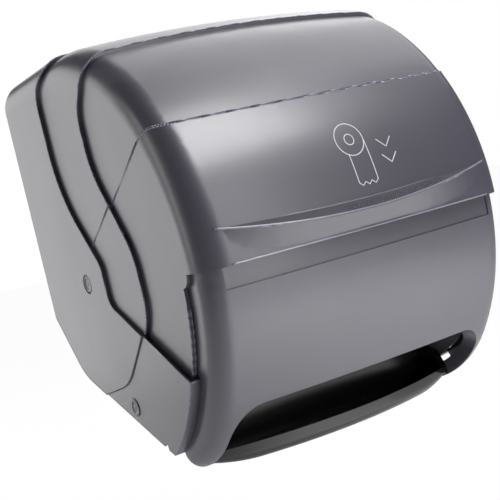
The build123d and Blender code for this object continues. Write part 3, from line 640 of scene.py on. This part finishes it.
def round_points(centre, radius, steps):
    """Points once round a circle, the last on the first."""
    turns = [2 * math.pi * step / steps for step in range(steps + 1)]
    return [(centre[0] + radius * math.cos(turn), centre[1] + radius * math.sin(turn))
            for turn in turns]


def run_points(first, last, steps):
    """Points along a straight run."""
    return [(first[0] + (last[0] - first[0]) * step / steps,
             first[1] + (last[1] - first[1]) * step / steps) for step in range(steps + 1)]


# Own simple picture: a roll seen from its end, its sheet with a toothed foot, and two arrow heads
PICTURE_CENTRE = (0.018, -0.018)
PICTURE_SCALE = 1.35
PICTURE_LINE = 0.00065
INK_RISE = 0.00012
ROLL_AT = (-0.010, 0.010)
ROLL_R = 0.009
ROLL_STEPS = 40
CORE_R = 0.003
CORE_STEPS = 20
SHEET_LEFT = -0.014
SHEET_RIGHT = -0.001
SHEET_TOP_LEFT = ROLL_AT[1] - 0.9 * ROLL_R
SHEET_FOOT = -0.014
SHEET_STEPS = 6
SHEET_TEETH = 7
TOOTH_DEEP = 0.0018
ARROW_TIPS = ((0.012, 0.002), (0.012, -0.007))
ARROW_ARM = 0.005
ARROW_STEPS = 3


def picture_lines():
    """Lines of the picture as lists of points on the front."""
    lines = [round_points(ROLL_AT, ROLL_R, ROLL_STEPS), round_points(ROLL_AT, CORE_R, CORE_STEPS)]
    for x, top in ((SHEET_RIGHT, ROLL_AT[1]), (SHEET_LEFT, SHEET_TOP_LEFT)):
        lines.append(run_points((x, top), (x, SHEET_FOOT), SHEET_STEPS))
    step = (SHEET_RIGHT - SHEET_LEFT) / (SHEET_TEETH - 1)
    lines.append([(SHEET_LEFT + tooth * step, SHEET_FOOT - TOOTH_DEEP * (tooth % 2))
                  for tooth in range(SHEET_TEETH)])
    for tip in ARROW_TIPS:
        left, right = ((tip[0] + side * ARROW_ARM, tip[1] + ARROW_ARM) for side in (-1, 1))
        lines.append(run_points(left, tip, ARROW_STEPS) + run_points(tip, right, ARROW_STEPS)[1:])
    return [[(PICTURE_CENTRE[0] + PICTURE_SCALE * x, PICTURE_CENTRE[1] + PICTURE_SCALE * z)
             for x, z in line] for line in lines]


class DISPENSER_OT_picture(bpy.types.Operator):
    """Printed picture on the front of the lever"""

    bl_idname = "dispenser.picture"
    bl_label = "Printed picture"

    def execute(self, context):
        verts, faces = [], []
        for line in picture_lines():
            faces += tube_faces(len(line), len(STRIP_CORNERS), len(verts))
            verts += strip_verts(line, PICTURE_LINE, INK_RISE)
        piece = mesh_piece("front_picture", verts, faces, printed_ink(looks().ink_colour))
        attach(piece, "lever")
        return {"FINISHED"}


# Grip ledge of the lever: its crease and its edge, in the middle, and their rise at its ends
CREASE_Z = -0.047
CREASE_RISE = 0.006
CREASE_SINK = 0.0012
EDGE_Z = -0.056
EDGE_RISE = 0.013
EDGE_SINK = 0.0006


def ledge_point(x, share):
    """Point of the ledge's upper face, from its crease (0) to its edge (1)."""
    ease = (x / LEDGE_HALF) ** 2
    crease_z = CREASE_Z + CREASE_RISE * ease
    edge_z = EDGE_Z + EDGE_RISE * ease
    crease = Vector((x, front_y(x, crease_z) + CREASE_SINK, crease_z))
    edge = Vector((x, front_y(x, edge_z) - LEDGE_REACH * (1 - ease) + EDGE_SINK, edge_z))
    return crease.lerp(edge, share)


def dome_tree(material):
    """Geometry Nodes: a small dome on every point, realized and given its material."""
    tree = bpy.data.node_groups.new("grip_domes", "GeometryNodeTree")
    face = tree.interface
    face.new_socket("Points", in_out="INPUT", socket_type="NodeSocketGeometry")
    size = face.new_socket("Dome radius", in_out="INPUT", socket_type="NodeSocketFloat")
    flat = face.new_socket("Dome height", in_out="INPUT", socket_type="NodeSocketFloat")
    face.new_socket("Domes", in_out="OUTPUT", socket_type="NodeSocketGeometry")
    nodes, links = tree.nodes, tree.links
    entry = nodes.new("NodeGroupInput")
    dome = nodes.new("GeometryNodeMeshUVSphere")
    dome.inputs["Segments"].default_value = 8
    dome.inputs["Rings"].default_value = 5
    dome.inputs["Radius"].default_value = 1.0
    scale = nodes.new("ShaderNodeCombineXYZ")
    links.new(entry.outputs["Dome radius"], scale.inputs["X"])
    links.new(entry.outputs["Dome radius"], scale.inputs["Z"])
    links.new(entry.outputs["Dome height"], scale.inputs["Y"])
    place = nodes.new("GeometryNodeInstanceOnPoints")
    links.new(entry.outputs["Points"], place.inputs["Points"])
    links.new(dome.outputs["Mesh"], place.inputs["Instance"])
    links.new(scale.outputs[0], place.inputs["Scale"])
    real = nodes.new("GeometryNodeRealizeInstances")
    links.new(place.outputs[0], real.inputs[0])
    paint = nodes.new("GeometryNodeSetMaterial")
    paint.inputs["Material"].default_value = material
    links.new(real.outputs[0], paint.inputs[0])
    leave = nodes.new("NodeGroupOutput")
    links.new(paint.outputs[0], leave.inputs[0])
    return tree, size.identifier, flat.identifier


def grown(name, points, tree, values):
    """Plain mesh object that a Geometry Nodes tree makes from points."""
    seed = bpy.data.meshes.new(name + "_points")
    seed.from_pydata([tuple(point) for point in points], [], [])
    host = placed(name + "_host", seed)
    modifier = host.modifiers.new("grow", "NODES")
    modifier.node_group = tree
    for key, value in values.items():
        modifier[key] = value
    graph = bpy.context.evaluated_depsgraph_get()
    mesh = bpy.data.meshes.new_from_object(host.evaluated_get(graph), depsgraph=graph)
    mesh.name = name
    bpy.data.objects.remove(host)
    for polygon in mesh.polygons:
        polygon.use_smooth = True
    return placed(name, mesh)


# Beads of the ledge, by their share of the way from its crease to its edge, and of the lip
BEAD_SIDES = 8
BEAD_STEPS = 64
CREASE_BEAD_R = 0.0005
CREASE_BEAD_SHARE = 0.12
EDGE_BEAD_R = 0.0008
EDGE_BEAD_SHARE = 0.9
LEDGE_BEAD_HALF = LEDGE_HALF - 0.002
LIP_BEAD_R = 0.0007
LIP_BEAD_HALF = 0.118


def bead_mesh(points, radius):
    """Thin round bead along points that run from left to right."""
    verts = []
    for index, point in enumerate(points):
        along = (points[min(index + 1, len(points) - 1)] - points[max(index - 1, 0)]).normalized()
        across = Vector((0.0, 0.0, 1.0)).cross(along).normalized()
        verts += circle(point, across, along.cross(across), radius, BEAD_SIDES)
    return verts, tube_faces(len(points), BEAD_SIDES)


def spread(half):
    """Places along the width, from left to right."""
    return [half * (2 * step / BEAD_STEPS - 1) for step in range(BEAD_STEPS + 1)]


class DISPENSER_OT_beads(bpy.types.Operator):
    """Rounded edges of the lever: along the ledge and along the lip, in a painted edge highlight
    """

    bl_idname = "dispenser.beads"
    bl_label = "Rounded edges"

    def execute(self, context):
        material = painted_edge_highlight(looks())
        ledge = spread(LEDGE_BEAD_HALF)
        lip = spread(LIP_BEAD_HALF)
        lines = {
            "ledge_crease": ([ledge_point(x, CREASE_BEAD_SHARE) for x in ledge], CREASE_BEAD_R),
            "ledge_edge": ([ledge_point(x, EDGE_BEAD_SHARE) for x in ledge], EDGE_BEAD_R),
            "lip_edge": ([front_point(x, LIP_Z + LIP_BEAD_R) for x in lip], LIP_BEAD_R),
        }
        for name, (points, radius) in lines.items():
            piece = mesh_piece(name, *bead_mesh(points, radius), material)
            smooth_sides(piece)
            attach(piece, "lever")
        return {"FINISHED"}


# Rows of grip dots, by their share of the way from the ledge's crease to its edge
FIRST_ROW_SHARE = 0.40
ROWS_SPAN_SHARE = 0.5


class DISPENSER_OT_grip(bpy.types.Operator):
    """Raised grip dots on the ledge of the lever"""

    bl_idname = "dispenser.grip"
    bl_label = "Grip on the ledge"

    def execute(self, context):
        settings = context.scene.dispenser_grip
        points = []
        for row in range(settings.rows):
            share = FIRST_ROW_SHARE + ROWS_SPAN_SHARE * row / max(1, settings.rows - 1)
            for column in range(settings.columns):
                along = (column + (row % 2) / 2) / settings.columns
                x = settings.start + (settings.end - settings.start) * along
                points.append(ledge_point(x, share))
        tree, size, flat = dome_tree(smoke_plastic(looks()))
        values = {size: settings.dot_radius, flat: settings.dot_height}
        piece = grown("ledge_grip", points, tree, values)
        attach(piece, "lever")
        return {"FINISHED"}


# Profile of the pin faces, from the centre out: radius, and rise above the pin's head
CAP_PROFILE = ((0.0, 0.00028), (0.0014, 0.00024), (0.0019, 0.00006), (0.0046, 0.00006),
               (0.0051, 0.00045), (0.0064, 0.00045), (0.0071, 0.0002), (0.0072, -0.0002))
CAP_BASE = 0.1453
CAP_STEPS = 48
HINGE_Y = -0.129
HINGE_Z = -0.172
PIN_PLACES = {"lever_cap": ((PIVOT_Y, PIVOT_Z), "cover"),
              "hinge_cap": ((HINGE_Y, HINGE_Z), "chassis")}


def cap_mesh(centre, side):
    """Turned face of a pin: a rim, a hollow ring and a small centre boss."""
    back, up = Vector((0.0, 1.0, 0.0)), Vector((0.0, 0.0, 1.0))
    rings = CAP_PROFILE[1:]
    verts = [Vector((side * (CAP_BASE + CAP_PROFILE[0][1]), *centre))]
    for radius, rise in rings:
        verts += circle(Vector((side * (CAP_BASE + rise), *centre)), back, up, radius, CAP_STEPS)
    faces = [(0, 1 + step, 1 + (step + 1) % CAP_STEPS) for step in range(CAP_STEPS)]
    for ring in range(len(rings) - 1):
        faces += tube_sides(1 + ring * CAP_STEPS, CAP_STEPS)
    faces.append(tuple(range(len(verts) - CAP_STEPS, len(verts))))
    return verts, faces


class DISPENSER_OT_caps(bpy.types.Operator):
    """Turned faces of the four pins"""

    bl_idname = "dispenser.caps"
    bl_label = "Pin faces"

    def execute(self, context):
        material = moulded_plastic("cap_grey", colour=(0.06, 0.06, 0.065),
                                   roughness=0.35, grain_scale=900.0, grain_strength=0.1)
        for name, (centre, body) in PIN_PLACES.items():
            for side, label in ((-1, "left"), (1, "right")):
                piece = mesh_piece(f"{name}_{label}", *cap_mesh(centre, side), material)
                smooth_sides(piece)
                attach(piece, body)
        return {"FINISHED"}


# Camera as fitted to the photograph, which is PHOTO_PIXELS wide and high
CAMERA_PLACE = (-0.47047, -0.91619, -0.01432)
CAMERA_TURN = math.radians(29.6)
CAMERA_DIP = math.radians(4.3)
CAMERA_ROLL = math.radians(-13.1)
FOCAL_PIXELS = 1077.0
PHOTO_PIXELS = 500.0
LOOK_AT_PIXEL = (239.0, 262.0)
SENSOR = 36.0


def photo_camera():
    """Camera at the place and angle that the photo was taken from."""
    ahead = Vector((math.sin(CAMERA_TURN) * math.cos(CAMERA_DIP),
                    math.cos(CAMERA_TURN) * math.cos(CAMERA_DIP), -math.sin(CAMERA_DIP)))
    right = ahead.cross(Vector((0, 0, 1))).normalized()
    down = ahead.cross(right)
    turned_right = right * math.cos(CAMERA_ROLL) - down * math.sin(CAMERA_ROLL)
    turned_down = right * math.sin(CAMERA_ROLL) + down * math.cos(CAMERA_ROLL)
    data = bpy.data.cameras.new("photo_camera")
    data.sensor_width = SENSOR
    data.lens = SENSOR * FOCAL_PIXELS / PHOTO_PIXELS
    data.shift_x = 0.5 - LOOK_AT_PIXEL[0] / PHOTO_PIXELS
    data.shift_y = LOOK_AT_PIXEL[1] / PHOTO_PIXELS - 0.5
    camera = placed("photo_camera", data)
    columns = Matrix((turned_right, -turned_down, -ahead)).transposed()
    camera.matrix_world = Matrix.Translation(CAMERA_PLACE) @ columns.to_4x4()
    bpy.context.scene.camera = camera


LAMP_TARGET = Vector((0.0, -0.14, -0.05))
# Turn to the right of the front and height in degrees, distance, and width and height of each lamp
LAMPS = {
    "key": (25, 51, 1.35, (0.55, 0.6)),
    "strip": (15, 8, 1.2, (0.25, 0.9)),
    "top": (112, 52, 1.5, (1.4, 1.4)),
    "back": (150, 30, 1.8, (1.3, 0.9)),
    "side": (-152, 8, 1.5, (1.2, 1.2)),
    "fill": (-108, 15, 1.4, (0.35, 1.0)),
}


def soft_lamp(name, turn, height, distance, size, power):
    """Lamp that faces the dispenser, placed by its turn from the front and its height."""
    turn, height = math.radians(turn), math.radians(height)
    away = Vector((math.sin(turn) * math.cos(height), -math.cos(turn) * math.cos(height),
                   math.sin(height)))
    data = bpy.data.lights.new(name, "AREA")
    data.shape = "RECTANGLE"
    data.size, data.size_y = size
    data.energy = power
    lamp = placed(name, data)
    lamp.location = LAMP_TARGET + distance * away
    lamp.rotation_mode = "QUATERNION"
    lamp.rotation_quaternion = (-away).to_track_quat("-Z", "Y")


FLOOR_LAMP_PLACE = (0.22, -0.74)
FLOOR_LAMP_ABOVE = 0.15
FLOOR_LAMP_SIZE = 0.7


def floor_lamp(floor_z, power):
    """Lamp that looks straight down and brightens the floor in front."""
    data = bpy.data.lights.new("floor_lamp", "AREA")
    data.size = FLOOR_LAMP_SIZE
    data.energy = power
    lamp = placed("floor_lamp", data)
    lamp.location = (*FLOOR_LAMP_PLACE, floor_z + FLOOR_LAMP_ABOVE)


WHITE = (1.0, 1.0, 1.0, 1.0)


def white_where_seen(tree, lit, share):
    """Mixes a lit shader with a share of plain white for what the camera and glass see."""
    path = tree.nodes.new("ShaderNodeLightPath")
    seen = tree.nodes.new("ShaderNodeMath")
    seen.operation = "MAXIMUM"
    tree.links.new(path.outputs["Is Camera Ray"], seen.inputs[0])
    tree.links.new(path.outputs["Is Transmission Ray"], seen.inputs[1])
    white = tree.nodes.new("ShaderNodeEmission")
    white.inputs["Color"].default_value = WHITE
    part = tree.nodes.new("ShaderNodeMath")
    part.operation = "MULTIPLY"
    part.inputs[1].default_value = share
    tree.links.new(seen.outputs[0], part.inputs[0])
    mix = tree.nodes.new("ShaderNodeMixShader")
    tree.links.new(part.outputs[0], mix.inputs[0])
    tree.links.new(lit, mix.inputs[1])
    tree.links.new(white.outputs[0], mix.inputs[2])
    return mix


def studio_world(level):
    """Even room light, white where the camera and glass see it."""
    world = bpy.data.worlds.new("studio")
    bpy.context.scene.world = world
    world.use_nodes = True
    tree = world.node_tree
    tree.nodes.clear()
    lit = tree.nodes.new("ShaderNodeBackground")
    lit.inputs["Color"].default_value = (level, level, level, 1.0)
    mix = white_where_seen(tree, lit.outputs[0], share=1.0)
    out = tree.nodes.new("ShaderNodeOutputWorld")
    tree.links.new(mix.outputs[0], out.inputs["Surface"])


FLOOR_WHITE = 0.97
FLOOR_REACH = 6.0


def floor_material():
    """Pale matt floor."""
    shader = Shader("pale_floor")
    tint = shader.blend(shader.noise(scale=3.0), rgba(WHITE[:3], 0.93), rgba(WHITE[:3], 0.95))
    values = {"Base Color": tint, "Roughness": 0.9, "Specular IOR Level": 0.1}
    lit = shader.add("ShaderNodeBsdfPrincipled", {}, values)
    mix = white_where_seen(shader.tree, lit.socket, FLOOR_WHITE)
    shader.tree.links.new(mix.outputs[0], shader.out.inputs["Surface"])
    return shader.material


class DISPENSER_OT_stage(bpy.types.Operator):
    """Floor, lamps, room light and camera"""

    bl_idname = "dispenser.stage"
    bl_label = "Studio"

    def execute(self, context):
        studio = context.scene.dispenser_studio
        low = cad_box[0][2] - studio.floor_gap
        corners = [(side * FLOOR_REACH, end * FLOOR_REACH, low)
                   for side, end in ((-1, -1), (1, -1), (1, 1), (-1, 1))]
        floor = mesh_piece("floor", corners, [(0, 1, 2, 3)], floor_material())
        for name, settings in LAMPS.items():
            soft_lamp(name + "_lamp", *settings, getattr(studio, name + "_power"))
        floor_lamp(low, studio.floor_power)
        studio_world(studio.world_level)
        photo_camera()
        context.scene.view_settings.view_transform = "Standard"
        return {"FINISHED"}


class DISPENSER_PT_panel(bpy.types.Panel):
    """Lists the groups of pieces and the studio"""

    bl_label = "Towel dispenser"
    bl_idname = "DISPENSER_PT_panel"
    bl_space_type = "VIEW_3D"
    bl_region_type = "UI"
    bl_category = "Dispenser"

    def draw(self, context):
        for operator in OPERATORS:
            self.layout.operator(operator.bl_idname)


OPERATORS = (
    DISPENSER_OT_shells,
    DISPENSER_OT_mouldings,
    DISPENSER_OT_hardware,
    DISPENSER_OT_caps,
    DISPENSER_OT_grip,
    DISPENSER_OT_beads,
    DISPENSER_OT_picture,
    DISPENSER_OT_stage,
)
GROUPS = (DispenserLooks, DispenserGrip, DispenserStudio)


def register():
    """Registers the settings, the operators and the panel."""
    for group in GROUPS:
        bpy.utils.register_class(group)
    for operator in OPERATORS:
        bpy.utils.register_class(operator)
    bpy.utils.register_class(DISPENSER_PT_panel)
    bpy.types.Scene.dispenser_looks = PointerProperty(type=DispenserLooks)
    bpy.types.Scene.dispenser_grip = PointerProperty(type=DispenserGrip)
    bpy.types.Scene.dispenser_studio = PointerProperty(type=DispenserStudio)


def unregister():
    """Takes the settings, the operators and the panel away again."""
    del bpy.types.Scene.dispenser_studio
    del bpy.types.Scene.dispenser_grip
    del bpy.types.Scene.dispenser_looks
    bpy.utils.unregister_class(DISPENSER_PT_panel)
    for operator in reversed(OPERATORS):
        bpy.utils.unregister_class(operator)
    for group in reversed(GROUPS):
        bpy.utils.unregister_class(group)


def main():
    """Makes every piece in order."""
    register()
    bpy.ops.dispenser.shells()
    bpy.ops.dispenser.mouldings()
    bpy.ops.dispenser.hardware()
    bpy.ops.dispenser.caps()
    bpy.ops.dispenser.grip()
    bpy.ops.dispenser.beads()
    bpy.ops.dispenser.picture()
    bpy.ops.dispenser.stage()


if __name__ == "__main__":
    main()
